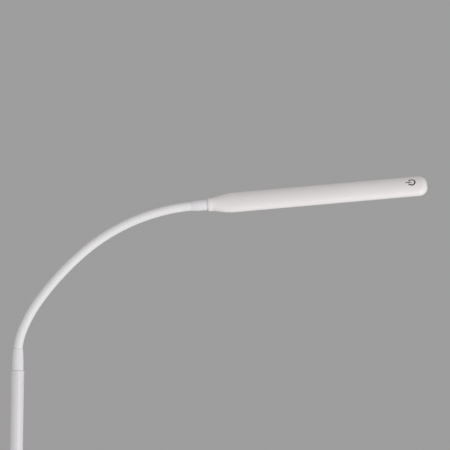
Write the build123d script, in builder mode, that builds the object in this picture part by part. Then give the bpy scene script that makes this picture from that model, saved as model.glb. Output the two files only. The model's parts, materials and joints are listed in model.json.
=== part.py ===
from build123d import *
import os
from collections import namedtuple
from math import acos, asin, cos, degrees, radians, sin, sqrt, tan

# Gooseneck reading floor lamp: weighted round base, pole in three tubes, a bendable
# neck in a soft sleeve and a flat bar head that turns on its own length.
# Millimetres, +Z up, +X from the pole towards the head. The origin is the centre of the
# base's underside, on the floor.

# ---------------------------------------------------------------- clearances
fit_gap = 0.05             # radial gap of pieces that are fixed in each other
running_gap = 0.08         # radial gap of the swivel
free_gap = 0.3             # gap of pieces that only pass each other
link_gap = 0.3             # gap between neighbouring hose links

# ---------------------------------------------------------------- base
pad_thickness = 2.0
pad_inset = 6.0            # pad to the rim of the base
plate_thickness = 1.2
base_radius = 120.0
base_height = 24.0         # floor to the flat seat on top of the cover
base_shoulder = 19.0       # floor to where the side and the top of the cover would meet
base_edge_radius = 4.0
base_rim = 1.5             # floor to the lower edge of the cover
cover_wall = 1.5
cover_seat_width = 7.0     # flat seat past the foot collar
ballast_top_gap = 2.3      # ballast to the inside of the shoulder
ballast_side_gap = 5.5     # ballast to the inside of the cover
ballast_boss_inset = 2.0   # boss to the edge of the flat seat
nut_recess_gap = 3.0       # washer to the side of its recess
lead_nut_gap = 0.7         # lead to the nut above it
lead_groove_width = 5.0
lead_groove_gap = 1.9      # lead to the roof of its groove
plate_screw_count = 4
plate_screw_inset = 28.0   # screws to the rim of the base
plate_screw_angle = 45.0   # of the first screw, degrees
plate_screw_radius = 1.6
plate_screw_head_radius = 3.2
plate_screw_length = 8.0
plate_screw_socket_radius = 1.6
plate_screw_socket_depth = 0.6

# ---------------------------------------------------------------- power inlet
inlet_nut_gap = 0.8        # nut to the base plate
inlet_flange_radius = 5.0
inlet_flange_thickness = 1.5
inlet_flange_chamfer = 0.3
inlet_barrel_radius = 4.0
inlet_barrel_length = 13.0
inlet_mouth_radius = 2.9
inlet_mouth_depth = 9.0    # behind the cover's surface
inlet_pin_radius = 1.05
inlet_nut_width = 11.0     # across flats
inlet_nut_thickness = 2.0
inlet_notch_gap = 2.5      # nut to the side of the notch in the ballast
inlet_notch_depth = 27.0

# ---------------------------------------------------------------- pole
collar_top = 1060.0        # floor to the top of the ring on the pole
pole_radius = 9.5
pole_wall = 1.2
tube_count = 3
joiner_reach = 20.0        # depth of a joiner in each tube
joiner_bead = 1.0          # height of the joiner's bead between two tubes
joiner_bead_sink = 0.3     # bead below the surface of the tubes
joiner_bore = 4.5
foot_collar_width = 5.5    # past the pole
foot_collar_height = 9.0
foot_insert_length = 24.0
nipple_radius = 5.0
nipple_bore = 3.8
nipple_reach = 18.0        # height of the nipple above the cover
base_nut_width = 15.0      # across flats
base_nut_thickness = 4.5
base_washer_radius = 12.0
base_washer_thickness = 1.5
collar_overhang = 0.4      # past the pole
collar_height = 4.6
collar_edge = 0.35

# ---------------------------------------------------------------- neck
bend_inset = 5.6                           # start of the bend below the lower cuff's lip
bend_radii = (91.0, 202.0, 426.0, 290.0)   # of the neck's centre line at rest
bend_turns = (20.5, 14.4, 12.6, 36.53)     # degrees
straight_run = 21.46                       # from the last bend to the head
sleeve_radius = 6.55
sleeve_wall = 1.25
ferrule_lip = 0.1                          # ferrules past the sleeve
ferrule_plug_length = 18.0                 # lower ferrule's plug in the pole
lower_ferrule_inset = 8.0                  # top of the lower ferrule below the bend
ferrule_bore = 2.6
hose_socket_gap = 0.45
hose_socket_depth = 4.0
lower_cuff_length = 32.6
lower_cuff_gap = 0.3                       # cuff to sleeve
lower_cuff_walls = (1.65, 1.35, 0.5)       # foot, middle, lip
upper_cuff_length = 22.7
upper_cuff_walls = (0.4, 1.2)              # lip, body
upper_cuff_taper = 9.6
upper_cuff_gap = 0.1                       # cuff to sleeve
upper_ferrule_length = 13.0
hose_gap = 0.8                             # hose to sleeve
hose_bore = 2.5
hose_dome_rise = 0.5                       # radius of a link's rounded end past the hose
hose_pitch = 3.6                           # from groove to groove
hose_groove = 0.4                          # depth of a groove
hose_plain = 1.8                           # length without grooves at a link's ends, in all
joint_count = 18

# ---------------------------------------------------------------- swivel
swivel_gap = 1.0           # seam between the neck and the head
washer_radius = 7.3
swivel_radius = 5.0
swivel_bore = 2.6
ferrule_floor = 1.7        # between the hose and the swivel's shank
flange_thickness = 2.5
flange_play = 0.1          # axial
root_wall = 2.2            # of the head, in front of the flange
stop_wall = 1.4            # of the head, round the stop's pocket
stop_step = 1.5            # stop past the flange
stop_width = 30.0          # degrees
swivel_travel = 90.0       # degrees either way from face down
stop_gap = 0.2             # stop to the rim of its pocket
stop_play = 1.0            # degrees left at the ends of the travel, in all

# ---------------------------------------------------------------- head
head_length = 327.0
head_roll = 50.0           # degrees from face down at rest, top turned towards -Y
neck_end_radius = 9.8
neck_end_length = 8.0
neck_round_length = 3.2
neck_round_depth = 1.5
flare_end = 40.0
flare_steps = 5
head_half_width = 17.2
head_top_height = 10.3
head_depth = 8.0
head_flat = 6.0            # half width of the flat underside
neck_flat = 0.5
tip_plan_radius = 14.0
tip_edge_radius = 9.0
tip_flat = 0.25            # cut off the rounded tip
tip_steps = 7
cavity_tip_angle = 60.0    # degrees round the tip that the cavity follows
root_steps = 5
head_wall = 1.8
tray_floor = 2.6
cavity_start = 10.0
board_root_gap = 5.25      # screw boss to light board
board_tip_gap = 7.25
window_corner = 4.0
lens_gap = 0.1
lens_recess = 0.8          # lens face above the lowest line of the head
lens_flange_gap = 0.5      # lens to rail
lens_lip = 1.0             # lens past the window
lens_flange = 1.0
rail_inset = 5.2           # rail to the head's side
rail_width = 1.4
board_level = -1.5         # underside of the light board
board_thickness = 1.0
spreader_thickness = 1.5
board_margin = 2.0         # light board past the window
led_rows = 2
led_columns = 24
led_size = (3.5, 2.8, 0.7)
led_row_pitch = 10.0
led_column_pitch = 10.2
hold_down_inset = 30.0     # first posts to the end of the light board
hold_down_gap = 17.0       # last posts to the control board
hold_down_rail_gap = 2.0
hold_down_radius = 1.8
screw_root_station = 42.0
screw_root_offset = 7.0
screw_tip_inset = 13.0
screw_tip_offset = 6.0
screw_boss_radius = 2.75
screw_radius = 1.15
screw_head_radius = 2.4
screw_head_depth = 1.3
screw_length = 10.0
screw_slot_width = 0.6
screw_slot_length = 2.88
screw_slot_depth = 0.65
screw_sink = 0.25          # screw heads below the surface
mark_inset = 22.9          # middle of the power mark from the tip
mark_radius = 6.0
mark_line = 2.0
mark_bar_line = 1.5
mark_gap_angle = 52.0      # opening of the ring, degrees
mark_bar_length = 9.2
mark_depth = 0.3
key_seat_rim = 1.0         # seat past the electrode
key_seat_depth = 2.7       # below the top of the head
key_thickness = 0.3
key_post_radius = 1.5
control_length = 57.0
control_end_margin = 2.5   # board past the electrode's post
control_side_gap = 8.2     # board to the head's side
control_key_gap = 1.3      # board to the electrode
control_thickness = 1.0
peg_radius = 1.0
peg_post_radius = 2.2
peg_insets = (10.0, 40.0)
connector_size = (6.0, 8.0)
connector_gap = 0.6        # connector to the heat spreader
driver_size = (7.0, 7.0, 3.0)
chip_size = (5.0, 5.0, 1.0)
part_places = ((0.0, 0.0), (24.0, 0.0), (44.0, -4.0))   # from the root end of the board

# ---------------------------------------------------------------- lead
lead_radius = 1.5
lead_bend = 5.2            # tightest bend, under the pole
lead_drop_start = 6.0      # from the inlet's back to where the lead drops
lead_drop_end = 16.0       # and to where it lies in its groove
lead_drop_bend = 8.0
lead_joint_height = 10.0   # joint of the pole's and the neck's lead above the collar
head_lead_rise = (14.0, 40.0)
head_lead_bend = 60.0
head_lead_gap = 0.1        # lead above the heat spreader

quarter_turn = 90          # degrees

os.makedirs("parts", exist_ok=True)


def finish_piece(piece, name):
    """Label a finished piece and write it to its own file."""
    piece.part.label = name
    export_step(piece.part, f"parts/{name}.step")


def ring(outer, inner, bottom, top):
    """Sketch outline of a turned ring in the plane of its axis, right of the axis."""
    with BuildLine() as outline:
        Polyline((inner, bottom), (outer, bottom), (outer, top), (inner, top), close=True)
    make_face(outline.edges())


def hexagon_corner(width):
    """Middle to corner of a hexagon of the given width across its flats."""
    return width / sqrt(3)


def plate_screw_spots(radius):
    """Circles at the plate's screws, in the open sketch."""
    with PolarLocations(plate_screw_circle, plate_screw_count, start_angle=plate_screw_angle):
        Circle(radius)


def sector(radius, middle, width):
    """Pie slice in the open sketch, with its middle and width in degrees."""
    with BuildLine() as outline:
        rim = CenterArc((0, 0), radius, middle - width / 2, width)
        Polyline(rim @ 1, (0, 0), rim @ 0)
    make_face(outline.edges())


# ================================================================ base
collar_radius = pole_radius + collar_overhang
foot_collar_radius = pole_radius + foot_collar_width
cover_seat_radius = foot_collar_radius + cover_seat_width
plate_screw_circle = base_radius - plate_screw_inset
plate_top = pad_thickness + plate_thickness
ballast_top = base_shoulder - cover_wall - ballast_top_gap
lead_floor = plate_top + free_gap + lead_radius
recess_top = lead_floor + lead_radius + lead_nut_gap + base_nut_thickness + base_washer_thickness
inlet_height = plate_top + inlet_nut_gap + inlet_nut_width / 2
cover_inside = base_height - cover_wall
ballast_radius = base_radius - cover_wall - ballast_side_gap
inlet_back = base_radius - inlet_barrel_length
tube_bore = pole_radius - pole_wall
plug_radius = tube_bore - fit_gap

with BuildPart() as base_pad:
    Cylinder(base_radius - pad_inset, pad_thickness, align=(Align.CENTER, Align.CENTER, Align.MIN))
finish_piece(base_pad, "base_pad")

with BuildPart() as base_plate:
    with BuildSketch(Plane.XY.offset(pad_thickness)):
        Circle(base_radius - cover_wall - free_gap)
    extrude(amount=plate_thickness)
    with BuildSketch(Plane.XY.offset(pad_thickness)):
        plate_screw_spots(plate_screw_head_radius)
    extrude(amount=plate_thickness, mode=Mode.SUBTRACT)
finish_piece(base_plate, "base_plate")

with BuildPart() as base_plate_screws:
    with BuildSketch(Plane.XY.offset(pad_thickness)):
        plate_screw_spots(plate_screw_head_radius - fit_gap)
    extrude(amount=plate_thickness)
    with BuildSketch(Plane.XY.offset(plate_top)):
        plate_screw_spots(plate_screw_radius)
    extrude(amount=plate_screw_length)
    with BuildSketch(Plane.XY.offset(pad_thickness)):
        with PolarLocations(plate_screw_circle, plate_screw_count, start_angle=plate_screw_angle):
            RegularPolygon(plate_screw_socket_radius, 6)
    extrude(amount=plate_screw_socket_depth, mode=Mode.SUBTRACT)
finish_piece(base_plate_screws, "base_plate_screws")

with BuildPart() as base_ballast:
    with BuildSketch(Plane.XY.offset(plate_top)):
        Circle(ballast_radius)
    extrude(amount=ballast_top - plate_top)
    with BuildSketch(Plane.XY.offset(ballast_top)):
        Circle(cover_seat_radius - ballast_boss_inset)
    extrude(amount=cover_inside - ballast_top)
    with BuildSketch(Plane.XY.offset(plate_top)):
        Circle(base_washer_radius + nut_recess_gap)
    extrude(amount=recess_top - plate_top, mode=Mode.SUBTRACT)
    with BuildSketch(Plane.XY.offset(plate_top)):
        Circle(nipple_radius + fit_gap)
    extrude(amount=base_height, mode=Mode.SUBTRACT)
    with BuildSketch(Plane.XY.offset(plate_top)):
        with Locations((-base_radius, 0)):
            Rectangle(base_radius, lead_groove_width, align=(Align.MIN, Align.CENTER))
    extrude(amount=lead_floor + lead_radius + lead_groove_gap - plate_top, mode=Mode.SUBTRACT)
    with BuildSketch(Plane.XY.offset(plate_top)):
        with Locations((-base_radius, 0)):
            Rectangle(inlet_notch_depth + base_radius - ballast_radius,
                      inlet_nut_width + 2 * inlet_notch_gap, align=(Align.MIN, Align.CENTER))
    extrude(amount=ballast_top - plate_top, mode=Mode.SUBTRACT)
    with BuildSketch(Plane.XY.offset(plate_top)):
        plate_screw_spots(plate_screw_radius + fit_gap)
    extrude(amount=plate_screw_length + free_gap, mode=Mode.SUBTRACT)
finish_piece(base_ballast, "base_ballast")


def cover_outline(radius, rim, shoulder, crown, edge_radius):
    """Half outline of the cover: straight side, rounded edge, shallow cone and flat seat."""
    with BuildLine() as outline:
        FilletPolyline((0, rim), (radius, rim), (radius, shoulder), (cover_seat_radius, crown),
                       (0, crown), radius=(0, edge_radius, 0))
        Line((0, crown), (0, rim))
    make_face(outline.edges())


inlet_plane = Plane(origin=(-base_radius, 0, inlet_height), x_dir=(0, 1, 0), z_dir=(-1, 0, 0))

with BuildPart() as base_cover:
    with BuildSketch(Plane.XZ):
        cover_outline(base_radius, base_rim, base_shoulder, base_height, base_edge_radius)
    revolve(axis=Axis.Z)
    with BuildSketch(Plane.XZ):
        cover_outline(base_radius - cover_wall, base_rim - cover_wall, base_shoulder - cover_wall,
                      cover_inside, base_edge_radius - cover_wall)
    revolve(axis=Axis.Z, mode=Mode.SUBTRACT)
    with BuildSketch(Plane.XY.offset(cover_inside)):
        Circle(nipple_radius + fit_gap)
    extrude(amount=base_height, mode=Mode.SUBTRACT)
    with BuildSketch(inlet_plane):
        Circle(inlet_barrel_radius + fit_gap)
    extrude(amount=-inlet_barrel_length, mode=Mode.SUBTRACT)
finish_piece(base_cover, "base_cover")

# ================================================================ power inlet
with BuildPart() as dc_inlet_body:
    with BuildSketch(inlet_plane):
        Circle(inlet_flange_radius)
    extrude(amount=inlet_flange_thickness)
    with BuildSketch(inlet_plane):
        Circle(inlet_barrel_radius)
    extrude(amount=-inlet_barrel_length)
    with BuildSketch(inlet_plane.offset(inlet_flange_thickness)):
        Circle(inlet_mouth_radius)
    extrude(amount=-(inlet_flange_thickness + inlet_mouth_depth), mode=Mode.SUBTRACT)
    flange_rim = dc_inlet_body.edges().filter_by(GeomType.CIRCLE).sort_by(Axis.X)[:2]
    chamfer(flange_rim, inlet_flange_chamfer)
finish_piece(dc_inlet_body, "dc_inlet_body")

with BuildPart() as dc_inlet_pin:
    with BuildSketch(inlet_plane.offset(-inlet_mouth_depth)):
        Circle(inlet_pin_radius)
    extrude(amount=inlet_mouth_depth)
finish_piece(dc_inlet_pin, "dc_inlet_pin")

inlet_nut_corner = hexagon_corner(inlet_nut_width)
cover_inner_radius = base_radius - cover_wall
inlet_nut_seat = base_radius - sqrt(cover_inner_radius**2 - inlet_nut_corner**2) + fit_gap

with BuildPart() as dc_inlet_nut:
    with BuildSketch(inlet_plane.offset(-inlet_nut_seat)):
        RegularPolygon(inlet_nut_corner, 6)
        Circle(inlet_barrel_radius + fit_gap, mode=Mode.SUBTRACT)
    extrude(amount=-inlet_nut_thickness)
finish_piece(dc_inlet_nut, "dc_inlet_nut")

# ================================================================ pole
washer_bottom = recess_top - base_washer_thickness
base_nut_bottom = washer_bottom - base_nut_thickness
pole_top = collar_top - collar_height
ferrule_radius = sleeve_radius + ferrule_lip

with BuildPart() as base_washer:
    with BuildSketch(Plane.XY.offset(washer_bottom)):
        Circle(base_washer_radius)
        Circle(nipple_radius + fit_gap, mode=Mode.SUBTRACT)
    extrude(amount=base_washer_thickness)
finish_piece(base_washer, "base_washer")

with BuildPart() as base_nut:
    with BuildSketch(Plane.XY.offset(base_nut_bottom)):
        RegularPolygon(hexagon_corner(base_nut_width), 6)
        Circle(nipple_radius + fit_gap, mode=Mode.SUBTRACT)
    extrude(amount=base_nut_thickness)
finish_piece(base_nut, "base_nut")

with BuildPart() as base_nipple:
    with BuildSketch(Plane.XY.offset(base_nut_bottom - fit_gap)):
        Circle(nipple_radius)
        Circle(nipple_bore, mode=Mode.SUBTRACT)
    extrude(amount=base_height + nipple_reach - base_nut_bottom + fit_gap)
finish_piece(base_nipple, "base_nipple")

with BuildPart() as pole_foot_collar:
    with BuildSketch(Plane.XY.offset(base_height)):
        Circle(foot_collar_radius)
        Circle(pole_radius + fit_gap, mode=Mode.SUBTRACT)
    extrude(amount=foot_collar_height)
    collar_rim = pole_foot_collar.edges().group_by(Axis.Z)[-1].sort_by(SortBy.RADIUS)[-1]
    fillet(collar_rim, (foot_collar_radius - pole_radius) / 2)
finish_piece(pole_foot_collar, "pole_foot_collar")

with BuildPart() as pole_foot_insert:
    with BuildSketch(Plane.XY.offset(base_height)):
        Circle(plug_radius)
        Circle(nipple_radius + fit_gap, mode=Mode.SUBTRACT)
    extrude(amount=foot_insert_length)
finish_piece(pole_foot_insert, "pole_foot_insert")

tube_length = (pole_top - base_height - joiner_bead * (tube_count - 1)) / tube_count
tube_pitch = tube_length + joiner_bead

for tube_index, tube_name in enumerate(("pole_lower", "pole_middle", "pole_upper")):
    with BuildPart() as pole_tube:
        with BuildSketch(Plane.XY.offset(base_height + tube_index * tube_pitch)):
            Circle(pole_radius)
            Circle(tube_bore, mode=Mode.SUBTRACT)
        extrude(amount=tube_length)
    finish_piece(pole_tube, tube_name)

for joiner_index, joiner_name in enumerate(("pole_joiner_lower", "pole_joiner_upper")):
    bead_bottom = base_height + tube_length + joiner_index * tube_pitch
    with BuildPart() as pole_joiner:
        with BuildSketch(Plane.XZ):
            ring(plug_radius, joiner_bore, bead_bottom - joiner_reach,
                 bead_bottom + joiner_bead + joiner_reach)
            ring(pole_radius - joiner_bead_sink, joiner_bore, bead_bottom, bead_bottom + joiner_bead)
        revolve(axis=Axis.Z)
    finish_piece(pole_joiner, joiner_name)

with BuildPart() as pole_top_collar:
    with BuildSketch(Plane.XZ):
        ring(collar_radius, ferrule_radius + fit_gap, pole_top, collar_top)
    revolve(axis=Axis.Z)
    collar_edges = pole_top_collar.edges().filter_by(
        lambda edge: abs(edge.radius - collar_radius) < fit_gap if edge.geom_type == GeomType.CIRCLE
        else False)
    chamfer(collar_edges, collar_edge)
finish_piece(pole_top_collar, "pole_top_collar")

# ================================================================ neck
bend_start = lower_cuff_length - bend_inset
lower_ferrule_height = bend_start - lower_ferrule_inset
hose_radius = sleeve_radius - sleeve_wall - hose_gap
hose_dome = hose_radius + hose_dome_rise
hose_socket_radius = hose_radius + hose_socket_gap
last_bend = sum(bend_turns)
head_rise = radians(quarter_turn - last_bend)
axis_direction = Vector(cos(head_rise), 0, sin(head_rise))
rise_direction = Vector(-sin(head_rise), 0, cos(head_rise))
bend_length = sum(radians(turn) * radius for radius, turn in zip(bend_radii, bend_turns))
root_distance = bend_start + bend_length + straight_run


def neck_route(foot, end_run):
    """Centre line of the neck: up from foot, round the bends, then straight for end_run."""
    with BuildLine(Plane.XZ) as route:
        run = Line((0, collar_top + foot), (0, collar_top + bend_start))
        for radius, turn in zip(bend_radii, bend_turns):
            run = JernArc(start=run @ 1, tangent=run % 1, radius=radius, arc_size=-turn)
        Line(run @ 1, run @ 1 + (run % 1) * end_run)
    return route


centre_line = neck_route(0, straight_run).wire()
head_root = centre_line @ 1


def neck_point(distance):
    """Point of the centre line at a distance above the collar's top, along the line."""
    return centre_line.position_at(distance, position_mode=PositionMode.LENGTH)


def neck_plane(station):
    """Plane square to the head's axis, at a distance past the head's root, not rolled."""
    return Plane(origin=head_root + axis_direction * station, x_dir=(0, 1, 0),
                 z_dir=axis_direction)


# ---------------------------------------------------------------- lower end of the neck
socket_floor = collar_top + lower_ferrule_height - hose_socket_depth
lower_ferrule_top = collar_top + lower_ferrule_height

with BuildPart() as neck_lower_ferrule:
    with BuildSketch(Plane.XZ):
        ring(plug_radius, ferrule_bore, pole_top - ferrule_plug_length, pole_top)
        ring(ferrule_radius, ferrule_bore, pole_top, lower_ferrule_top)
    revolve(axis=Axis.Z)
    with BuildSketch(Plane.XY.offset(socket_floor)):
        Circle(hose_socket_radius)
    extrude(amount=hose_socket_depth, mode=Mode.SUBTRACT)
finish_piece(neck_lower_ferrule, "neck_lower_ferrule")

lower_cuff_bore = sleeve_radius + lower_cuff_gap
cuff_foot_radius, cuff_middle_radius, cuff_lip_radius = (
    lower_cuff_bore + wall for wall in lower_cuff_walls)
cuff_top = collar_top + lower_cuff_length

with BuildPart() as neck_lower_cuff:
    with BuildSketch(Plane.XZ):
        with BuildLine():
            ThreePointArc((cuff_foot_radius, collar_top),
                          (cuff_middle_radius, (collar_top + cuff_top) / 2),
                          (cuff_lip_radius, cuff_top))
            Polyline((cuff_lip_radius, cuff_top), (lower_cuff_bore, cuff_top),
                     (lower_cuff_bore, collar_top), (cuff_foot_radius, collar_top))
        make_face()
    revolve(axis=Axis.Z)
finish_piece(neck_lower_cuff, "neck_lower_cuff")

# ---------------------------------------------------------------- sleeve of the neck
upper_ferrule_start = -(swivel_gap + upper_ferrule_length)     # stations from the head's root
sleeve_end_run = straight_run + upper_ferrule_start

with BuildPart() as neck_sleeve:
    sleeve_route = neck_route(lower_ferrule_height, sleeve_end_run)
    with BuildSketch(Plane.XY.offset(lower_ferrule_top)):
        Circle(sleeve_radius)
        Circle(sleeve_radius - sleeve_wall, mode=Mode.SUBTRACT)
    sweep(path=sleeve_route.wire())
finish_piece(neck_sleeve, "neck_sleeve")

# ---------------------------------------------------------------- hose, one link per joint
free_start = lower_cuff_length
free_end = root_distance - swivel_gap - upper_cuff_length
link_pitch = (free_end - free_start) / joint_count
joint_points = [neck_point(free_start + (index + 0.5) * link_pitch) for index in range(joint_count)]
hose_foot = neck_point(lower_ferrule_height - hose_socket_depth + free_gap)
hose_head = head_root + axis_direction * (upper_ferrule_start + hose_socket_depth - free_gap)
hose_points = [hose_foot] + joint_points + [hose_head]


def dome_reach(sphere, radius):
    """Height above a sphere's centre at which its surface has the given radius."""
    return sqrt(sphere**2 - radius**2)


def hose_link(start, end, hollow_start, domed_end):
    """Straight length of wound hose with a grooved outside and rounded ends at its joints."""
    run = end - start
    length = run.length
    along = run.normalized()
    socket = hose_dome + link_gap
    low = dome_reach(socket, hose_radius) if hollow_start else 0
    high = length + dome_reach(hose_dome, hose_radius) if domed_end else length
    link_plane = Plane(origin=start, x_dir=(along.Z, 0, -along.X), z_dir=(0, -1, 0))
    groove_count = int((high - low - hose_plain) / hose_pitch)
    first_groove = (low + high - (groove_count - 1) * hose_pitch) / 2
    side = [(hose_radius, low)]
    for groove_index in range(groove_count):
        middle = first_groove + groove_index * hose_pitch
        side += [(hose_radius, middle - hose_groove), (hose_radius - hose_groove, middle),
                 (hose_radius, middle + hose_groove)]
    side.append((hose_radius, high))
    with BuildPart() as link:
        with BuildSketch(link_plane):
            with BuildLine():
                Polyline(*side)
                if domed_end:
                    rim_angle = degrees(acos(hose_radius / hose_dome))
                    bore_angle = degrees(acos(hose_bore / hose_dome))
                    upper = CenterArc((0, length), hose_dome, rim_angle, bore_angle - rim_angle)
                else:
                    upper = Line((hose_radius, high), (hose_bore, high))
                if hollow_start:
                    rim_angle = degrees(acos(hose_radius / socket))
                    bore_angle = degrees(acos(hose_bore / socket))
                    lower = CenterArc((0, 0), socket, rim_angle, bore_angle - rim_angle)
                else:
                    lower = Line((hose_radius, 0), (hose_bore, 0))
                Line(upper @ 1, lower @ 1)
            make_face()
        revolve(axis=Axis(start, along))
    return link


for link_index in range(joint_count + 1):
    neck_link = hose_link(hose_points[link_index], hose_points[link_index + 1],
                          link_index > 0, link_index < joint_count)
    finish_piece(neck_link, f"neck_link_{link_index:02d}" if link_index else "neck_stub")

# ---------------------------------------------------------------- upper end of the neck
upper_cuff_start = -(swivel_gap + upper_cuff_length)
upper_cuff_bore = sleeve_radius + upper_cuff_gap
upper_lip_radius, upper_body_radius = (upper_cuff_bore + wall for wall in upper_cuff_walls)
stop_radius = neck_end_radius - stop_wall - stop_gap
flange_radius = stop_radius - stop_step
swivel_shank = swivel_gap + upper_ferrule_length - hose_socket_depth - ferrule_floor
lathe_plane = Plane(origin=head_root, x_dir=rise_direction, z_dir=(0, 1, 0))
head_axis = Axis(head_root, axis_direction)

with BuildPart() as neck_upper_ferrule:
    with BuildSketch(neck_plane(upper_ferrule_start)):
        Circle(ferrule_radius)
        Circle(ferrule_bore, mode=Mode.SUBTRACT)
    extrude(amount=upper_ferrule_length)
    with BuildSketch(neck_plane(upper_ferrule_start)):
        Circle(hose_socket_radius)
    extrude(amount=hose_socket_depth, mode=Mode.SUBTRACT)
    with BuildSketch(neck_plane(-swivel_shank - fit_gap)):
        Circle(swivel_radius + fit_gap)
    extrude(amount=swivel_shank, mode=Mode.SUBTRACT)
finish_piece(neck_upper_ferrule, "neck_upper_ferrule")

with BuildPart() as neck_upper_cuff:
    with BuildSketch(lathe_plane):
        with BuildLine():
            Polyline((upper_cuff_bore, upper_cuff_start), (upper_lip_radius, upper_cuff_start),
                     (upper_body_radius, upper_cuff_start + upper_cuff_taper),
                     (upper_body_radius, -swivel_gap), (upper_cuff_bore, -swivel_gap), close=True)
        make_face()
    revolve(axis=head_axis)
finish_piece(neck_upper_cuff, "neck_upper_cuff")

with BuildPart() as swivel_nipple:
    with BuildSketch(neck_plane(-swivel_shank)):
        Circle(swivel_radius)
    extrude(amount=swivel_shank + root_wall + flange_play)
    with BuildSketch(neck_plane(root_wall + flange_play)):
        Circle(flange_radius)
        sector(stop_radius, -quarter_turn, stop_width)
    extrude(amount=flange_thickness)
    with BuildSketch(neck_plane(-swivel_shank)):
        Circle(swivel_bore)
    extrude(amount=head_length, mode=Mode.SUBTRACT)
finish_piece(swivel_nipple, "swivel_nipple")

with BuildPart() as swivel_washer:
    with BuildSketch(neck_plane(-swivel_gap)):
        Circle(washer_radius)
        Circle(swivel_radius + fit_gap, mode=Mode.SUBTRACT)
    extrude(amount=swivel_gap - flange_play)
finish_piece(swivel_washer, "swivel_washer")

# ================================================================ head
rail_start = head_half_width - rail_inset
flange_half_width = rail_start - lens_flange_gap
window_half_width = flange_half_width - lens_lip
roll = radians(head_roll)
face_direction = rise_direction * cos(roll) + Vector(0, -1, 0) * sin(roll)
side_direction = face_direction.cross(axis_direction)
pocket_depth = flange_thickness + 2 * flange_play


def head_section(station):
    """Plane across the head at a distance from its root: X across, Y towards the top."""
    return Plane(origin=head_root + axis_direction * station, x_dir=side_direction,
                 z_dir=axis_direction)


def head_deck(level):
    """Plane along the head at a level: X along the head, Y across, Z towards the top."""
    return Plane(origin=head_root + face_direction * level, x_dir=axis_direction,
                 z_dir=face_direction)


Section = namedtuple("Section", "half_width height depth flat")


def upper_half(section):
    """Half section above the parting line: half an ellipse."""
    with BuildLine() as outline:
        for start in (0, quarter_turn):
            EllipticalCenterArc((0, 0), section.half_width, section.height, start,
                                arc_size=quarter_turn)
        Line((-section.half_width, 0), (section.half_width, 0))
    make_face(outline.edges())


def lower_half(section):
    """Half section below the parting line: flat underside between quarter ellipses."""
    corner = section.half_width - section.flat
    with BuildLine() as outline:
        EllipticalCenterArc((-section.flat, 0), corner, section.depth, 2 * quarter_turn,
                            arc_size=quarter_turn)
        Line((-section.flat, -section.depth), (section.flat, -section.depth))
        EllipticalCenterArc((section.flat, 0), corner, section.depth, 3 * quarter_turn,
                            arc_size=quarter_turn)
        Line((section.half_width, 0), (-section.half_width, 0))
    make_face(outline.edges())


tip_start = head_length + tip_flat - tip_plan_radius


def head_size(station):
    """Outer section of the head: rounded root, neck end, flare, bar or rounded tip."""
    if station < neck_end_length:
        left = max(1 - station / neck_round_length, 0)
        radius = neck_end_radius - neck_round_depth * (1 - sqrt(1 - left**2))
        return Section(radius, radius, radius, neck_flat)
    if station < flare_end:
        share = sin(radians(quarter_turn) * (station - neck_end_length) / (flare_end - neck_end_length))
        return Section(neck_end_radius + (head_half_width - neck_end_radius) * share,
                       neck_end_radius + (head_top_height - neck_end_radius) * share,
                       neck_end_radius + (head_depth - neck_end_radius) * share,
                       neck_flat + (head_flat - neck_flat) * share)
    distance = head_length + tip_flat - station
    plan_left = max(tip_plan_radius - distance, 0)
    edge_left = max(tip_edge_radius - distance, 0)
    plan_drop = tip_plan_radius - sqrt(tip_plan_radius**2 - plan_left**2)
    edge_drop = tip_edge_radius - sqrt(tip_edge_radius**2 - edge_left**2)
    width_share = 1 - plan_drop / head_half_width
    height_share = 1 - edge_drop / head_top_height
    return Section(head_half_width * width_share, head_top_height * height_share,
                   head_depth * height_share, head_flat * width_share)


def cavity_size(station):
    """Section of the head's cavity, one wall inside the outer section."""
    outer = head_size(station if station < flare_end else station + head_wall)
    return Section(outer.half_width - head_wall, outer.height - head_wall,
                   outer.depth - tray_floor, outer.flat / head_flat * (flange_half_width + lens_gap))


def tip_stations(reach, inset):
    """Stations round the tip at even angles of its plan rounding, up to reach degrees."""
    return [head_length + tip_flat - inset - tip_plan_radius * (1 - sin(radians(reach * step / tip_steps)))
            for step in range(tip_steps + 1)]


def flare_stations(start):
    """Even stations from start to the end of the flare."""
    return [start + (flare_end - start) * step / flare_steps for step in range(flare_steps + 1)]


root_stations = [neck_round_length * (step / root_steps)**2 for step in range(root_steps + 1)]
tip_end_angle = degrees(asin(1 - tip_flat / tip_plan_radius))
outer_spans = (
    (root_stations, False),
    ((neck_round_length, neck_end_length), True),
    (flare_stations(neck_end_length), False),
    ((flare_end, tip_start), True),
    (tip_stations(tip_end_angle, 0), False),
)
cavity_spans = (
    (flare_stations(cavity_start), False),
    ((flare_end, tip_start - head_wall), True),
    (tip_stations(cavity_tip_angle, head_wall), False),
)


def head_half(outline, size_at, spans):
    """Add half of the head, or of its cavity, span by span to the open builder."""
    for stations, straight in spans:
        sections = []
        for station in stations:
            with BuildSketch(head_section(station)) as section:
                outline(size_at(station))
            sections.append(section.sketch)
        loft(sections, ruled=straight)


def spots(places, radius):
    """Circles at places along and across the head, in the open sketch."""
    with Locations(*places):
        Circle(radius)


def cut_swivel_seat():
    """Bore, flange pocket with its stop, and lead way through the head's solid neck end."""
    with BuildSketch(head_section(0)) as bore:
        Circle(swivel_radius + running_gap)
    extrude(bore.sketch, amount=root_wall, mode=Mode.SUBTRACT)
    with BuildSketch(head_section(root_wall)) as pocket:
        Circle(flange_radius + free_gap)
        sector(stop_radius + stop_gap, -quarter_turn, 2 * swivel_travel + stop_width + stop_play)
    extrude(pocket.sketch, amount=pocket_depth, mode=Mode.SUBTRACT)
    with BuildSketch(head_section(root_wall)) as lead_way:
        Circle(swivel_bore)
    extrude(lead_way.sketch, amount=cavity_start, mode=Mode.SUBTRACT)


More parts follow.
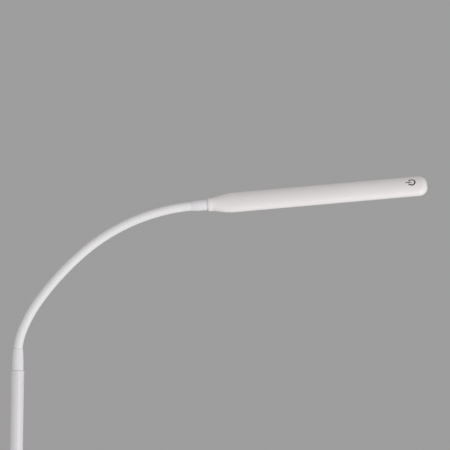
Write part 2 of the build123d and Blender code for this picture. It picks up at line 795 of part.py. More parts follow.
mark_station = head_length - mark_inset
screw_tip_station = head_length - screw_tip_inset
board_start = screw_root_station + screw_boss_radius + board_root_gap
board_end = screw_tip_station - screw_boss_radius - board_tip_gap
board_length = board_end - board_start
board_half_width = rail_start + rail_width
window_length = board_length - 2 * board_margin
window_middle = (board_start + board_end) / 2
board_top = board_level + board_thickness
spreader_top = board_top + spreader_thickness
key_seat_level = head_top_height - key_seat_depth
key_bottom = key_seat_level - key_thickness
control_top = key_bottom - control_key_gap
control_level = control_top - control_thickness
control_end = mark_station + key_post_radius + control_end_margin
control_start = control_end - control_length
boss_reach = head_depth - tray_floor - fit_gap
screw_places = [(screw_root_station, screw_root_offset), (screw_root_station, -screw_root_offset),
                (screw_tip_station, screw_tip_offset), (screw_tip_station, -screw_tip_offset)]
hold_down_offset = rail_start - hold_down_rail_gap
hold_down_stations = (board_start + hold_down_inset, window_middle - hold_down_gap,
                      control_start - hold_down_gap)
hold_down_places = [(station, side * hold_down_offset)
                    for station in hold_down_stations for side in (-1, 1)]
peg_places = [(control_start + inset, 0) for inset in peg_insets]

# ---------------------------------------------------------------- power mark
mark_ends = (mark_station - mark_bar_length - mark_line, mark_station + mark_radius + mark_line)

with BuildPart() as power_mark:
    for sink, sink_mode in ((0, Mode.ADD), (mark_depth, Mode.SUBTRACT)):
        for station in mark_ends:
            size = head_size(station)
            with BuildSketch(head_section(station)):
                upper_half(size._replace(half_width=size.half_width - sink,
                                         height=size.height - sink))
        loft(ruled=True, mode=sink_mode)
    with BuildSketch(Plane(origin=head_deck(0).from_local_coords((mark_station, 0, 0)),
                           x_dir=axis_direction, z_dir=face_direction)):
        Circle(mark_radius)
        Circle(mark_radius - mark_line, mode=Mode.SUBTRACT)
        with BuildLine():
            Polyline((0, 0), (-mark_bar_length, -mark_bar_length * tan(radians(mark_gap_angle / 2))),
                     (-mark_bar_length, mark_bar_length * tan(radians(mark_gap_angle / 2))),
                     close=True)
        make_face(mode=Mode.SUBTRACT)
        Rectangle(mark_bar_length, mark_bar_line, align=(Align.MAX, Align.CENTER))
    extrude(amount=head_top_height + mark_line, mode=Mode.INTERSECT)
finish_piece(power_mark, "power_mark")

# ---------------------------------------------------------------- top shell
with BuildPart() as top_cavity:
    head_half(upper_half, cavity_size, cavity_spans)
    with BuildSketch(head_deck(0)):
        spots(screw_places, screw_boss_radius)
    extrude(amount=head_top_height, mode=Mode.SUBTRACT)
    with BuildSketch(head_deck(spreader_top + lens_gap)):
        spots(hold_down_places, hold_down_radius)
    extrude(amount=head_top_height, mode=Mode.SUBTRACT)
    with BuildSketch(head_deck(control_top)):
        spots(peg_places, peg_post_radius)
    extrude(amount=head_top_height, mode=Mode.SUBTRACT)
    with BuildSketch(head_deck(key_seat_level)):
        spots([(mark_station, 0)], mark_radius + key_seat_rim)
    extrude(amount=head_top_height, mode=Mode.SUBTRACT)

with BuildPart() as head_top_shell:
    head_half(upper_half, head_size, outer_spans)
    cut_swivel_seat()
    add(top_cavity.part, mode=Mode.SUBTRACT)
    add(power_mark.part, mode=Mode.SUBTRACT)
    with BuildSketch(head_deck(-boss_reach)):
        spots(screw_places, screw_boss_radius)
    extrude(amount=boss_reach)
    with BuildSketch(head_deck(-boss_reach)):
        spots(screw_places, screw_radius + fit_gap)
    extrude(amount=screw_length, mode=Mode.SUBTRACT)
    with BuildSketch(head_deck(control_level)):
        spots(peg_places, peg_radius)
    extrude(amount=control_thickness)
finish_piece(head_top_shell, "head_top_shell")

# ---------------------------------------------------------------- bottom shell
with BuildPart() as bottom_cavity:
    head_half(lower_half, cavity_size, cavity_spans)
    with BuildSketch(head_deck(board_level)):
        with Locations((window_middle, rail_start + rail_width / 2),
                       (window_middle, -rail_start - rail_width / 2)):
            Rectangle(board_length, rail_width)
    extrude(amount=-head_depth, mode=Mode.SUBTRACT)

with BuildPart() as head_bottom_shell:
    head_half(lower_half, head_size, outer_spans)
    cut_swivel_seat()
    add(bottom_cavity.part, mode=Mode.SUBTRACT)
    with BuildSketch(head_deck(-head_depth)):
        with Locations((window_middle, 0)):
            RectangleRounded(window_length, 2 * window_half_width, window_corner)
    extrude(amount=head_depth, mode=Mode.SUBTRACT)
    with BuildSketch(head_deck(-head_depth)):
        spots(screw_places, screw_head_radius + fit_gap)
    extrude(amount=screw_sink + screw_head_depth, mode=Mode.SUBTRACT)
    with BuildSketch(head_deck(-head_depth)):
        spots(screw_places, screw_radius + fit_gap)
    extrude(amount=head_depth, mode=Mode.SUBTRACT)
finish_piece(head_bottom_shell, "head_bottom_shell")

# ---------------------------------------------------------------- light
with BuildPart() as diffuser:
    with BuildSketch(head_deck(lens_recess - head_depth)):
        with Locations((window_middle, 0)):
            RectangleRounded(window_length - 2 * lens_gap, 2 * (window_half_width - lens_gap),
                             window_corner - lens_gap)
    extrude(amount=tray_floor - lens_recess)
    with BuildSketch(head_deck(tray_floor - head_depth)):
        with Locations((window_middle, 0)):
            RectangleRounded(board_length, 2 * flange_half_width, window_corner)
    extrude(amount=lens_flange)
finish_piece(diffuser, "diffuser")

with BuildPart() as led_board:
    with BuildSketch(head_deck(board_level)):
        with Locations((window_middle, 0)):
            Rectangle(board_length, 2 * board_half_width)
    extrude(amount=board_thickness)
finish_piece(led_board, "led_board")

led_length, led_width, led_height = led_size
with BuildPart() as leds:
    with BuildSketch(head_deck(board_level)):
        with Locations((window_middle, 0)):
            with GridLocations(led_column_pitch, led_row_pitch, led_columns, led_rows):
                Rectangle(led_length, led_width)
    extrude(amount=-led_height)
finish_piece(leds, "leds")

with BuildPart() as heat_spreader:
    with BuildSketch(head_deck(board_top)):
        with Locations((window_middle, 0)):
            Rectangle(board_length, 2 * board_half_width)
    extrude(amount=spreader_thickness)
finish_piece(heat_spreader, "heat_spreader")

# ---------------------------------------------------------------- touch key and control board
with BuildPart() as control_board:
    with BuildSketch(head_deck(control_level)):
        with Locations((control_start + control_length / 2, 0)):
            Rectangle(control_length, 2 * (head_half_width - control_side_gap))
        with Locations(*peg_places):
            Circle(peg_radius + fit_gap, mode=Mode.SUBTRACT)
    extrude(amount=control_thickness)
finish_piece(control_board, "control_board")

with BuildPart() as control_parts:
    connector = (*connector_size, control_level - connector_gap - spreader_top)
    for part_size, part_place in zip((connector, driver_size, chip_size), part_places):
        part_length, part_width, part_height = part_size
        place_along, place_across = part_place
        with BuildSketch(head_deck(control_level)):
            with Locations((control_start + place_along, place_across)):
                Rectangle(part_length, part_width, align=(Align.MIN, Align.CENTER))
        extrude(amount=-part_height)
finish_piece(control_parts, "control_parts")

with BuildPart() as touch_electrode:
    with BuildSketch(head_deck(key_bottom)):
        spots([(mark_station, 0)], mark_radius)
    extrude(amount=key_thickness)
    with BuildSketch(head_deck(control_top)):
        spots([(mark_station, 0)], key_post_radius)
    extrude(amount=control_key_gap)
finish_piece(touch_electrode, "touch_electrode")

with BuildPart() as head_screws:
    with BuildSketch(head_deck(screw_sink - head_depth)):
        spots(screw_places, screw_head_radius)
    extrude(amount=screw_head_depth)
    with BuildSketch(head_deck(screw_sink + screw_head_depth - head_depth)):
        spots(screw_places, screw_radius)
    extrude(amount=screw_length - screw_head_depth)
    with BuildSketch(head_deck(screw_sink - head_depth)):
        with Locations(*screw_places):
            Rectangle(screw_slot_length, screw_slot_width)
            Rectangle(screw_slot_width, screw_slot_length)
    extrude(amount=screw_slot_depth, mode=Mode.SUBTRACT)
finish_piece(head_screws, "head_screws")

# ================================================================ lead
lead_joint = collar_top + lead_joint_height
lead_level = spreader_top + head_lead_gap + lead_radius

with BuildPart() as pole_lead:
    with BuildLine(Plane.XZ) as pole_lead_route:
        FilletPolyline((-inlet_back, inlet_height), (lead_drop_start - inlet_back, inlet_height),
                       (lead_drop_end - inlet_back, lead_floor), (0, lead_floor),
                       (0, lead_joint), radius=(lead_drop_bend, lead_drop_bend, lead_bend))
    with BuildSketch(inlet_plane.offset(-inlet_barrel_length)):
        Circle(lead_radius)
    sweep(path=pole_lead_route.wire())
finish_piece(pole_lead, "pole_lead")

with BuildPart() as neck_lead:
    neck_lead_route = neck_route(lead_joint_height, straight_run)
    with BuildSketch(Plane.XY.offset(lead_joint)):
        Circle(lead_radius)
    sweep(path=neck_lead_route.wire())
finish_piece(neck_lead, "neck_lead")

with BuildPart() as head_lead:
    with BuildLine(Plane(origin=head_root, x_dir=axis_direction, z_dir=-side_direction)) as in_head:
        FilletPolyline((0, 0), (head_lead_rise[0], 0), (head_lead_rise[1], lead_level),
                       (control_start, lead_level), radius=head_lead_bend)
    with BuildSketch(head_section(0)):
        Circle(lead_radius)
    sweep(path=in_head.wire())
finish_piece(head_lead, "head_lead")
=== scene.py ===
import json
from math import cos, pi, radians, sin

import bpy
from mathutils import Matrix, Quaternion, Vector

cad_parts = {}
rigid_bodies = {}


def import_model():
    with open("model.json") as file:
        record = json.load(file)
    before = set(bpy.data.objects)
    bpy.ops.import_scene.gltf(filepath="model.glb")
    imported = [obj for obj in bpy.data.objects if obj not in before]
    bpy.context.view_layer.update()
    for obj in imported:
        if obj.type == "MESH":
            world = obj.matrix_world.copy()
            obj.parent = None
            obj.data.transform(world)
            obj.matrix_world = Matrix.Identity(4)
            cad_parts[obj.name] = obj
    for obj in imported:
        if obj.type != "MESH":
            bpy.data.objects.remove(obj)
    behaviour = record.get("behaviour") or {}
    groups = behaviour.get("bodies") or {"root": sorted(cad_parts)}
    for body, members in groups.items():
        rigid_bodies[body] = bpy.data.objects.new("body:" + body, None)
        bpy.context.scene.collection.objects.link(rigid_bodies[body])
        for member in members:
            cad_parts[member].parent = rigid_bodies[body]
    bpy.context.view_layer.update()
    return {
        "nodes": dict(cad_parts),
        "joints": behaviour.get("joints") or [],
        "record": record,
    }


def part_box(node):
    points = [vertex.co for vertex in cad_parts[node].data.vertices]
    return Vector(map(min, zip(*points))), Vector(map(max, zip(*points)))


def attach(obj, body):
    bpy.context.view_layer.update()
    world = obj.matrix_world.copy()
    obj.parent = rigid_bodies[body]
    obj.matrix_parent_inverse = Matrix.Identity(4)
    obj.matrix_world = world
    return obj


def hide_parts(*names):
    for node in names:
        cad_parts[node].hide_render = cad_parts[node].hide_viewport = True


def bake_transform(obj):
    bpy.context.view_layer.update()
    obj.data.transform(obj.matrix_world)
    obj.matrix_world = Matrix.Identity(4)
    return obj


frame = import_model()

# ---------------------------------------------------------------- driving sizes, in metres
collar_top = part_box("pole_top_collar")[1].z
pole_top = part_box("pole_upper")[1].z
collar_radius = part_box("pole_top_collar")[1].y
collar_bore_gap = 0.00015                   # to the sleeve

bend_start = 0.027                          # above the collar's top
bend_radii = (0.091, 0.202, 0.426, 0.290)   # of the neck's centre line at rest, from below
bend_turns = (20.5, 14.4, 12.6, 36.53)      # degrees that it turns at each radius
straight_run = 0.02146                      # from the last bend to the head
sleeve_radius = 0.00655
sleeve_wall = 0.00125
lower_ferrule_height = 0.019                # above the collar's top
lower_cuff_length = 0.0326
lower_cuff_radii = (0.0085, 0.0082, 0.00735)  # foot, middle, lip
lower_cuff_bore = 0.00685
lower_cuff_steps = 14                       # stretches of its curved side
upper_cuff_length = 0.0227
upper_cuff_radii = (0.00705, 0.00785)       # lip, body
upper_cuff_bore = 0.00665
upper_cuff_taper = 0.0096
swivel_gap = 0.001
upper_ferrule_length = 0.013
lead_radius = 0.0015
lead_joint_height = 0.010
lead_end_gap = 0.00005                      # to the head's lead
cuff_edge = 0.00035                         # rounding of the cuffs' and the collar's edges
seam = (0.0005, 0.0006)                     # width and depth of the grooves at the collar

# picture: what the photograph's frame takes in, in the plane of the lamp
picture_width = 0.668
picture_centre = Vector((0.3042, 0, 1.2813))
camera_distance = 8.0
camera_roll = radians(0.91)
sensor_width = 36.0                         # of the camera, in millimetres


# ---------------------------------------------------------------- centre line of the neck
def neck_route(distance):
    """Point and direction of the neck's centre line at a distance above the collar's top."""
    point = Vector((0, 0, collar_top + min(distance, bend_start)))
    angle = 0.0
    left = distance - bend_start
    for radius, turn in zip(bend_radii, bend_turns):
        if left <= 0:
            break
        swept = min(left / radius, radians(turn))
        point += radius * Vector((cos(angle) - cos(angle + swept), 0,
                                  sin(angle + swept) - sin(angle)))
        angle += swept
        left -= radius * radians(turn)
    direction = Vector((sin(angle), 0, cos(angle)))
    if left > 0:
        point += direction * left
    return point, direction


bend_length = sum(radians(turn) * radius for radius, turn in zip(bend_radii, bend_turns))
root_distance = bend_start + bend_length + straight_run
head_root, head_axis = neck_route(root_distance)
free_end = root_distance - swivel_gap - upper_cuff_length


# ---------------------------------------------------------------- meshes
def add_mesh(name, points, faces, finish, sharp_angle=35):
    """New object from points and faces, shaded smooth but for edges over sharp_angle degrees."""
    mesh = bpy.data.meshes.new(name)
    mesh.from_pydata([tuple(point) for point in points], [], faces)
    mesh.validate()
    for face in mesh.polygons:
        face.use_smooth = True
    mesh.set_sharp_from_angle(angle=radians(sharp_angle))
    mesh.materials.append(finish)
    piece = bpy.data.objects.new(name, mesh)
    bpy.context.scene.collection.objects.link(piece)
    return piece


def ring_faces(first, second, count):
    """Faces between two rings of count points each, given by the index of their first point."""
    return [(first + side, first + (side + 1) % count, second + (side + 1) % count, second + side)
            for side in range(count)]


def tube_mesh(name, start, end, radius, bore, finish, sides=48, step=0.0016):
    """Closed tube along the neck's centre line between two distances; bore 0 makes a rod."""
    count = max(int((end - start) / step + 0.5), 1) + 1
    across = Vector((0, 1, 0))
    points, faces = [], []

    def add_ring(distance, ring_radius):
        middle, direction = neck_route(distance)
        up = direction.cross(across)
        first = len(points)
        for side in range(sides):
            angle = 2 * pi * side / sides
            points.append(middle + ring_radius * (cos(angle) * across + sin(angle) * up))
        return first

    stations = [start + (end - start) * index / (count - 1) for index in range(count)]
    outer = [add_ring(station, radius) for station in stations]
    for low, high in zip(outer, outer[1:]):
        faces += ring_faces(low, high, sides)
    if bore:
        inner = [add_ring(station, bore) for station in stations]
        for low, high in zip(inner, inner[1:]):
            faces += ring_faces(high, low, sides)
        faces += ring_faces(inner[0], outer[0], sides)
        faces += ring_faces(outer[-1], inner[-1], sides)
    else:
        faces.append(tuple(outer[0] + side for side in range(sides))[::-1])
        faces.append(tuple(outer[-1] + side for side in range(sides)))
    return add_mesh(name, points, faces, finish)


def rounded(profile, sizes, steps=5):
    """Outline with each corner of a closed profile rounded off over its given size."""
    outline = []
    for index, (corner, size) in enumerate(zip(profile, sizes)):
        corner = Vector(corner)
        before = Vector(profile[index - 1]) - corner
        after = Vector(profile[(index + 1) % len(profile)]) - corner
        if size == 0:
            outline.append(corner)
            continue
        start = corner + before.normalized() * min(size, before.length / 2)
        end = corner + after.normalized() * min(size, after.length / 2)
        for step in range(steps + 1):
            share = step / steps
            outline.append(start * (1 - share)**2 + corner * 2 * share * (1 - share)
                           + end * share**2)
    return outline


def lathe_mesh(name, outline, foot, axis, finish, sides=96):
    """Turned solid: a closed outline of (radius, height) points round an axis through foot."""
    side_on = Vector((0, 1, 0))
    up = axis.cross(side_on)
    points, faces = [], []
    rings = []
    for radius, height in outline:
        rings.append(len(points))
        for side in range(sides):
            angle = 2 * pi * side / sides
            points.append(foot + axis * height + radius * (cos(angle) * side_on + sin(angle) * up))
    for low, high in zip(rings, rings[1:] + rings[:1]):
        faces += ring_faces(low, high, sides)
    return add_mesh(name, points, faces, finish)


# ---------------------------------------------------------------- materials
millimetre = 0.001
noise_low, noise_high = 0.3, 0.7            # most of a noise's values lie between these


class Finish:
    """A material with one Principled shader and helpers for its procedural detail."""

    def __init__(self, name, roughness=0.5, metallic=0.0):
        self.material = bpy.data.materials.new(name)
        self.material.use_nodes = True
        self.nodes = self.material.node_tree.nodes
        self.links = self.material.node_tree.links
        self.shader = self.nodes["Principled BSDF"]
        self.shader.inputs["Roughness"].default_value = roughness
        self.shader.inputs["Metallic"].default_value = metallic
        self.place = self.nodes.new("ShaderNodeTexCoord").outputs["Object"]

    def scaled(self, scale):
        """Texture space scaled along each axis: a large scale packs a texture closer."""
        mapping = self.nodes.new("ShaderNodeMapping")
        mapping.inputs["Scale"].default_value = scale
        self.links.new(self.place, mapping.inputs["Vector"])
        return mapping.outputs["Vector"]

    def noise(self, size, detail=3.0, roughness=0.5, vector=None):
        """Noise whose cells are about size metres across."""
        texture = self.nodes.new("ShaderNodeTexNoise")
        texture.inputs["Scale"].default_value = 1 / size
        texture.inputs["Detail"].default_value = detail
        texture.inputs["Roughness"].default_value = roughness
        self.links.new(vector or self.place, texture.inputs["Vector"])
        return texture.outputs["Fac"]

    def cells(self, size, feature="F1"):
        """Distance from the middles of cells about size metres across."""
        texture = self.nodes.new("ShaderNodeTexVoronoi")
        texture.feature = feature
        texture.inputs["Scale"].default_value = 1 / size
        self.links.new(self.place, texture.inputs["Vector"])
        return texture.outputs["Distance"]

    def colours(self, value, *stops):
        """Base colour by a ramp over a texture's value: stops are (place, colour)."""
        ramp = self.nodes.new("ShaderNodeValToRGB")
        elements = ramp.color_ramp.elements
        while len(elements) < len(stops):
            elements.new(0.5)
        for element, (place, colour) in zip(elements, stops):
            element.position = place
            element.color = (*colour, 1)
        self.links.new(value, ramp.inputs["Fac"])
        self.links.new(ramp.outputs["Color"], self.shader.inputs["Base Color"])

    def tint(self, value, dark, light):
        """Base colour from dark to light over a noise's value."""
        self.colours(value, (noise_low, dark), (noise_high, light))

    def rough(self, value, low, high):
        """Roughness from low to high over a noise's value."""
        spread = self.nodes.new("ShaderNodeMapRange")
        spread.inputs["From Min"].default_value = noise_low
        spread.inputs["From Max"].default_value = noise_high
        spread.inputs["To Min"].default_value = low
        spread.inputs["To Max"].default_value = high
        self.links.new(value, spread.inputs["Value"])
        self.links.new(spread.outputs["Result"], self.shader.inputs["Roughness"])

    def bump(self, *layers):
        """Bump from layers of (texture value, height in metres), one on top of another."""
        normal = None
        for value, height in layers:
            node = self.nodes.new("ShaderNodeBump")
            node.inputs["Strength"].default_value = 1.0
            node.inputs["Distance"].default_value = height
            self.links.new(value, node.inputs["Height"])
            if normal:
                self.links.new(normal, node.inputs["Normal"])
            normal = node.outputs["Normal"]
        self.links.new(normal, self.shader.inputs["Normal"])

    def set(self, **sockets):
        """Other sockets of the shader, with _ for each space in their names."""
        for name, value in sockets.items():
            self.shader.inputs[name.replace("_", " ")].default_value = value


def shade(colour, factor):
    """A colour made darker by a factor."""
    return tuple(channel * factor for channel in colour)


def moulded(name, colour, roughness, grain=0.35 * millimetre, depth=0.006 * millimetre,
            cloud=30 * millimetre, tone=0.985):
    """Satin moulded plastic or rubber: fine spark texture and a faint cloudiness."""
    finish = Finish(name, roughness)
    finish.tint(finish.noise(cloud, detail=2), shade(colour, tone), colour)
    finish.rough(finish.noise(grain * 6), roughness - 0.05, roughness + 0.05)
    finish.bump((finish.noise(cloud / 2, detail=2), depth * 2),
                (finish.noise(grain, detail=4, roughness=0.6), depth))
    return finish


def powder_coat(name, colour, roughness=0.42):
    """Sprayed coat: slight orange peel under a fine grain."""
    finish = Finish(name, roughness)
    finish.tint(finish.noise(60 * millimetre, detail=2), shade(colour, 0.985), colour)
    finish.rough(finish.noise(2 * millimetre), roughness - 0.05, roughness + 0.06)
    finish.bump((finish.noise(2.2 * millimetre, detail=2), 0.012 * millimetre),
                (finish.noise(0.4 * millimetre), 0.003 * millimetre))
    finish.set(Coat_Weight=0.15, Coat_Roughness=0.3)
    return finish


def turned_metal(name, colour, roughness, packing=(1, 1, 60)):
    """Machined or drawn metal: tool marks packed close along one axis and long across it."""
    finish = Finish(name, roughness, metallic=1.0)
    marks = finish.noise(4 * millimetre, vector=finish.scaled(packing))
    finish.tint(marks, shade(colour, 0.86), colour)
    finish.rough(marks, roughness - 0.06, roughness + 0.1)
    finish.bump((marks, 0.004 * millimetre),
                (finish.noise(0.6 * millimetre, detail=2), 0.001 * millimetre))
    return finish


def cast_iron(name):
    """Rough sand casting with a trace of rust."""
    finish = Finish(name, roughness=0.75, metallic=0.6)
    finish.colours(finish.noise(12 * millimetre, detail=5, roughness=0.65),
                   (0.35, (0.035, 0.036, 0.038)), (0.6, (0.07, 0.07, 0.073)),
                   (0.75, (0.1, 0.075, 0.06)))
    finish.rough(finish.noise(4 * millimetre), 0.6, 0.85)
    finish.bump((finish.noise(3 * millimetre, detail=5, roughness=0.65), 0.12 * millimetre),
                (finish.cells(1.6 * millimetre), 0.03 * millimetre))
    return finish


def foam(name):
    """Black closed-cell foam."""
    cell = 0.7 * millimetre
    finish = Finish(name, roughness=0.92)
    finish.colours(finish.cells(cell), (0.1, (0.012, 0.012, 0.012)), (0.7, (0.035, 0.035, 0.035)))
    finish.rough(finish.noise(4 * millimetre), 0.85, 0.95)
    finish.bump((finish.cells(cell), 0.12 * millimetre),
                (finish.noise(8 * millimetre), 0.08 * millimetre))
    return finish


def circuit_board(name, mask, trace):
    """Solder mask over copper: tracks show as slightly raised, lighter lines."""
    finish = Finish(name, roughness=0.35)
    tracks = finish.nodes.new("ShaderNodeTexBrick")
    for socket, value in (("Scale", 160), ("Mortar Size", 0.05), ("Color1", (*mask, 1)),
                          ("Color2", (*shade(mask, 0.93), 1)), ("Mortar", (*trace, 1))):
        tracks.inputs[socket].default_value = value
    finish.links.new(finish.place, tracks.inputs["Vector"])
    finish.links.new(tracks.outputs["Color"], finish.shader.inputs["Base Color"])
    finish.rough(finish.noise(3 * millimetre), 0.28, 0.42)
    finish.bump((tracks.outputs["Fac"], 0.02 * millimetre),
                (finish.noise(0.8 * millimetre, detail=2), 0.004 * millimetre))
    return finish


def opal(name, colour):
    """Opal acrylic: light scatters in it, and small bumps cover its face."""
    finish = Finish(name, roughness=0.38)
    finish.tint(finish.noise(50 * millimetre, detail=2), shade(colour, 0.98), colour)
    finish.rough(finish.noise(1 * millimetre), 0.32, 0.46)
    finish.bump((finish.cells(1.1 * millimetre, "SMOOTH_F1"), 0.02 * millimetre))
    finish.set(Subsurface_Weight=0.35, Subsurface_Scale=4 * millimetre, IOR=1.49)
    return finish


def phosphor(name):
    """Grainy yellow phosphor over the LEDs."""
    finish = Finish(name, roughness=0.3)
    finish.tint(finish.noise(0.6 * millimetre), (0.78, 0.62, 0.16), (0.86, 0.72, 0.25))
    finish.rough(finish.noise(0.5 * millimetre), 0.22, 0.4)
    finish.bump((finish.noise(0.4 * millimetre), 0.01 * millimetre))
    return finish


def printed_mark(name):
    """Dark grey ink, a touch uneven, as a screen print is."""
    finish = Finish(name, roughness=0.35)
    finish.tint(finish.noise(1.2 * millimetre), (0.030, 0.029, 0.028), (0.042, 0.040, 0.039))
    finish.rough(finish.noise(0.6 * millimetre), 0.3, 0.42)
    finish.bump((finish.noise(0.4 * millimetre), 0.004 * millimetre))
    finish.set(Specular_IOR_Level=0.25)
    return finish


head_white = (0.82, 0.782, 0.775)
finishes = {
    "cover_paint": powder_coat("cover_paint", (0.79, 0.79, 0.79), 0.55),
    "pole_paint": powder_coat("pole_paint", (0.725, 0.708, 0.725)),
    "head_plastic": moulded("head_plastic", head_white, 0.38),
    "tray_plastic": moulded("tray_plastic", head_white, 0.42),
    "sleeve_silicone": moulded("sleeve_silicone", (0.80, 0.785, 0.795), 0.5,
                               depth=0.004 * millimetre),
    "cuff_rubber": moulded("cuff_rubber", (0.765, 0.75, 0.77), 0.62),
    "opal_acrylic": opal("opal_acrylic", (0.83, 0.83, 0.81)),
    "plain_steel": turned_metal("plain_steel", (0.56, 0.56, 0.55), 0.34),
    "hose_steel": turned_metal("hose_steel", (0.45, 0.45, 0.45), 0.4, packing=(1, 1, 200)),
    "ballast_iron": cast_iron("ballast_iron"),
    "pad_foam": foam("pad_foam"),
    "black_plastic": moulded("black_plastic", (0.022, 0.022, 0.023), 0.45, tone=0.85),
    "contact_brass": turned_metal("contact_brass", (0.72, 0.58, 0.30), 0.3, packing=(60, 1, 1)),
    "board_white": circuit_board("board_white", (0.80, 0.80, 0.77), (0.86, 0.86, 0.82)),
    "board_green": circuit_board("board_green", (0.02, 0.13, 0.05), (0.04, 0.22, 0.09)),
    "led_yellow": phosphor("led_yellow"),
    "heat_aluminium": turned_metal("heat_aluminium", (0.66, 0.67, 0.68), 0.36,
                                   packing=(1, 50, 1)),
    "mark_grey": printed_mark("mark_grey"),
    "lead_white": moulded("lead_white", (0.74, 0.74, 0.73), 0.5),
}

for subpart in frame["record"]["subparts"]:
    node = frame["nodes"][subpart["node"]]
    node.data.materials.clear()
    node.data.materials.append(finishes[subpart["material_slot"]].material)


# ---------------------------------------------------------------- sleeve and lead of the neck
neck_joints = [joint for joint in frame["joints"] if joint["name"] != "head_swivel"]
joint_pitch = (free_end - lower_cuff_length) / len(neck_joints)
# From the near end, rounding tears this span in the pose that has every joint at its least.
spans_from_far_end = {"neck_11_bend"}


def neck_tube(name, node, slot, start, end, radius, bore):
    """Tube along the neck in one straight length at each end and one length a joint, each joint's
    length fixed where it lies at rest.
    """
    finish = finishes[slot].material
    lower = tube_mesh(f"{name}_foot", start, lower_cuff_length, radius, bore, finish)
    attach(lower, neck_joints[0]["parent"])
    pieces = [lower]
    for index, joint in enumerate(neck_joints):
        low = lower_cuff_length + index * joint_pitch
        high = low + joint_pitch
        span = tube_mesh(f"{name}_{index + 1:02d}", low, high, radius, bore, finish)
        ends = [(joint["parent"], neck_route(low)[0]), (joint["child"], neck_route(high)[0])]
        if joint["name"] in spans_from_far_end:
            ends.reverse()
        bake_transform(span)
        pieces.append(span)
    upper = tube_mesh(f"{name}_head", free_end, end, radius, bore, finish)
    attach(upper, neck_joints[-1]["child"])
    pieces.append(upper)
    for piece in pieces:
        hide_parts(node)


neck_tube("sleeve", "neck_sleeve", "sleeve_silicone", lower_ferrule_height,
          root_distance - swivel_gap - upper_ferrule_length, sleeve_radius,
          sleeve_radius - sleeve_wall)
neck_tube("lead", "neck_lead", "lead_white", lead_joint_height, root_distance - lead_end_gap,
          lead_radius, 0)


# ---------------------------------------------------------------- collar and cuffs
def lower_cuff():
    """Rubber cuff on the collar: its side draws in along a parabola to a thin rounded lip."""
    foot, middle, lip = lower_cuff_radii
    side = []
    for step in range(lower_cuff_steps + 1):
        share = step / lower_cuff_steps
        radius = (foot * (1 - share) * (1 - 2 * share) + middle * 4 * share * (1 - share)
                  + lip * share * (2 * share - 1))
        side.append((radius, lower_cuff_length * share))
    width, depth = seam
    side[0] = (foot, width)
    profile = [(lower_cuff_bore, 0), (foot - depth, 0), (foot - depth, width), *side,
               (lower_cuff_bore, lower_cuff_length)]
    sizes = ([0, 0, 0, cuff_edge / 2] + [0] * (lower_cuff_steps - 1)
             + [cuff_edge, cuff_edge / 2])
    piece = lathe_mesh("neck_lower_cuff_moulded", rounded(profile, sizes),
                       Vector((0, 0, collar_top)), Vector((0, 0, 1)),
                       finishes["cuff_rubber"].material)
    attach(piece, "stand")
    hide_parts("neck_lower_cuff")


def collar():
    """Ring on top of the pole, with a fine seam to the tube below it."""
    bore = sleeve_radius + collar_bore_gap
    width, depth = seam
    profile = [(bore, pole_top), (collar_radius - depth, pole_top),
               (collar_radius - depth, pole_top + width), (collar_radius, pole_top + width),
               (collar_radius, collar_top), (bore, collar_top)]
    sizes = [0, 0, 0, cuff_edge, cuff_edge, 0]
    piece = lathe_mesh("pole_top_collar_turned", rounded(profile, sizes), Vector((0, 0, 0)),
                       Vector((0, 0, 1)), finishes["pole_paint"].material)
    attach(piece, "stand")
    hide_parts("pole_top_collar")


def upper_cuff():
    """Rubber cuff below the head: tapered lip, straight body, rounded rim at the swivel."""
    lip, body = upper_cuff_radii
    start = -(swivel_gap + upper_cuff_length)
    profile = [(upper_cuff_bore, start), (lip, start), (body, start + upper_cuff_taper),
               (body, -swivel_gap), (upper_cuff_bore, -swivel_gap)]
    sizes = [0, cuff_edge / 2, 4 * cuff_edge, 2 * cuff_edge, 0]
    piece = lathe_mesh("neck_upper_cuff_moulded", rounded(profile, sizes), head_root, head_axis,
                       finishes["cuff_rubber"].material)
    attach(piece, "neck_end")
    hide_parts("neck_upper_cuff")


collar()
lower_cuff()
upper_cuff()


# ---------------------------------------------------------------- stage
backdrop_colour = (0.34, 0.34, 0.34, 1)
soft_light = 0.575                          # from all round, for everything but the eye
floor_light = (0.88, 0.88, 0.88, 1)         # from the bright floor beyond the lamp
floor_colour = (0.8, 0.8, 0.8, 1)           # near the lamp, as it throws light back
floor_shown = (0.55, 0.55, 0.55, 1)         # near the lamp, as the eye sees it
floor_radius = 5.0
floor_fade = (0.5, 2.4)                     # radii between which it fades into the backdrop
floor_sides = 128


def seen_ray(nodes, links):
    """1 for rays that show the background: from the camera, and by reflection or through glass."""
    path = nodes.new("ShaderNodeLightPath")
    seen = path.outputs["Is Camera Ray"]
    for kind in ("Is Glossy Ray", "Is Transmission Ray"):
        either = nodes.new("ShaderNodeMath")
        either.operation = "MAXIMUM"
        links.new(seen, either.inputs[0])
        links.new(path.outputs[kind], either.inputs[1])
        seen = either.outputs["Value"]
    return seen


def colour_by_ray(nodes, links, seen, lighting, shown):
    """One colour for rays that light the lamp, another for rays that show the background."""
    mix = nodes.new("ShaderNodeMix")
    mix.data_type = "RGBA"
    links.new(seen, mix.inputs["Factor"])
    mix.inputs["A"].default_value = lighting
    mix.inputs["B"].default_value = shown
    return mix.outputs["Result"]


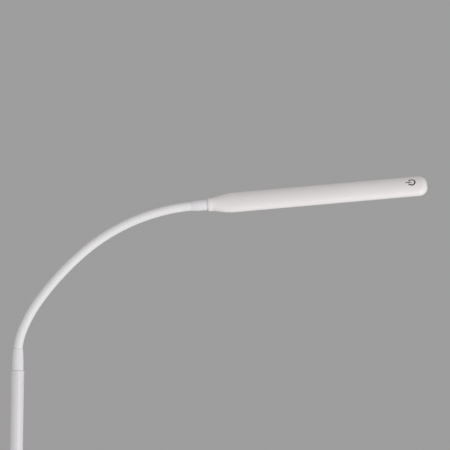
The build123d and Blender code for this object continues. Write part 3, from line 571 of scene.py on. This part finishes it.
def floor_material():
    """Matt near the lamp, and from there to the rim a glow that meets the background."""
    material = bpy.data.materials.new("floor")
    material.use_nodes = True
    nodes, links = material.node_tree.nodes, material.node_tree.links
    shader = nodes["Principled BSDF"]
    shader.inputs["Roughness"].default_value = 0.9
    shader.inputs["Specular IOR Level"].default_value = 0.0
    rim = nodes.new("ShaderNodeEmission")
    seen = seen_ray(nodes, links)
    links.new(colour_by_ray(nodes, links, seen, floor_colour, floor_shown),
              shader.inputs["Base Color"])
    links.new(colour_by_ray(nodes, links, seen, floor_light, backdrop_colour),
              rim.inputs["Color"])
    place = nodes.new("ShaderNodeTexCoord")
    distance = nodes.new("ShaderNodeVectorMath")
    distance.operation = "LENGTH"
    links.new(place.outputs["Object"], distance.inputs[0])
    fade = nodes.new("ShaderNodeMapRange")
    fade.interpolation_type = "SMOOTHSTEP"
    fade.inputs["From Min"].default_value, fade.inputs["From Max"].default_value = floor_fade
    links.new(distance.outputs["Value"], fade.inputs["Value"])
    mix = nodes.new("ShaderNodeMixShader")
    links.new(fade.outputs["Result"], mix.inputs["Fac"])
    links.new(shader.outputs["BSDF"], mix.inputs[1])
    links.new(rim.outputs["Emission"], mix.inputs[2])
    links.new(mix.outputs["Shader"], nodes["Material Output"].inputs["Surface"])
    return material


def make_floor():
    """Round pale floor that fades into the background at its rim and throws light back up."""
    angles = [2 * pi * side / floor_sides for side in range(floor_sides)]
    points = [(floor_radius * cos(angle), floor_radius * sin(angle), 0) for angle in angles]
    mesh = bpy.data.meshes.new("floor")
    mesh.from_pydata(points, [], [tuple(range(floor_sides))])
    mesh.materials.append(floor_material())
    floor = bpy.data.objects.new("floor", mesh)
    bpy.context.scene.collection.objects.link(floor)


def make_world():
    """Plain background for the eye and its reflections, soft even light for the rest."""
    world = bpy.data.worlds.new("studio")
    bpy.context.scene.world = world
    world.use_nodes = True
    nodes, links = world.node_tree.nodes, world.node_tree.links
    light = nodes["Background"]
    light.inputs["Color"].default_value = (1, 1, 1, 1)
    light.inputs["Strength"].default_value = soft_light
    shown = nodes.new("ShaderNodeBackground")
    shown.inputs["Color"].default_value = backdrop_colour
    shown.inputs["Strength"].default_value = 1.0
    mix = nodes.new("ShaderNodeMixShader")
    links.new(seen_ray(nodes, links), mix.inputs["Fac"])
    links.new(light.outputs["Background"], mix.inputs[1])
    links.new(shown.outputs["Background"], mix.inputs[2])
    links.new(mix.outputs["Shader"], nodes["World Output"].inputs["Surface"])


def make_lamp(name, place, target, size, power):
    """Square soft box at a place, facing a target."""
    light = bpy.data.lights.new(name, "AREA")
    light.shape = "SQUARE"
    light.size = size
    light.energy = power
    lamp = bpy.data.objects.new(name, light)
    lamp.location = place
    lamp.visible_camera = False
    lamp.rotation_mode = "QUATERNION"
    lamp.rotation_quaternion = (Vector(target) - Vector(place)).to_track_quat("-Z", "Y")
    bpy.context.scene.collection.objects.link(lamp)


def make_camera():
    """Level camera square to the lamp's plane, rolled so that the pole leans as photographed."""
    camera = bpy.data.cameras.new("camera")
    camera.sensor_width = sensor_width
    camera.lens = sensor_width * camera_distance / picture_width
    eye = bpy.data.objects.new("camera", camera)
    eye.location = picture_centre - Vector((0, camera_distance, 0))
    eye.rotation_mode = "QUATERNION"
    level = Quaternion((1, 0, 0), radians(90))
    eye.rotation_quaternion = level @ Quaternion((0, 0, 1), camera_roll)
    bpy.context.scene.collection.objects.link(eye)
    bpy.context.scene.camera = eye


make_floor()
make_world()
make_lamp("key", place=(1.75, -2.1, 0.40), target=(0.35, 0, 1.2), size=1.4, power=37)
make_camera()
bpy.context.scene.view_settings.view_transform = "Standard"
